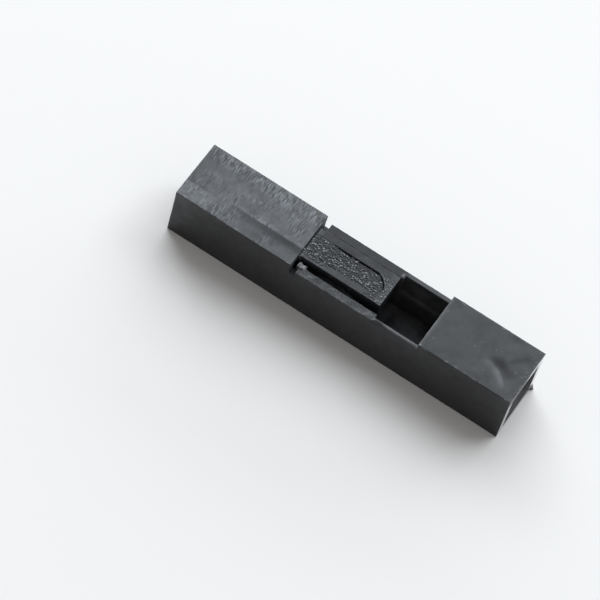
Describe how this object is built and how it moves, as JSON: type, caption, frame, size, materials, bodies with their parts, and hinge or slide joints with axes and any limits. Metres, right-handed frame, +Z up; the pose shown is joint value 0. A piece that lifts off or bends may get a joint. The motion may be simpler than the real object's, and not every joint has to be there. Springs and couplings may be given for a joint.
{
  "type": "crimp connector housing",
  "caption": "Slim square moulded housing for a crimped terminal, with a flexing latch tongue, an open window, a wire end and a funnelled mating end.",
  "frame": {"origin": "middle of the plain back face that the housing lies on", "axes": "+X along the length to the mating end, +Z up to the latch side, +Y across"},
  "size_m": [0.014, 0.0024, 0.0025],
  "materials": {
    "housing": "satin black moulded plastic, spark-eroded grain in the grip recess"
  },
  "bodies": {
    "root": {"housing": "housing"}
  },
  "joints": []
}
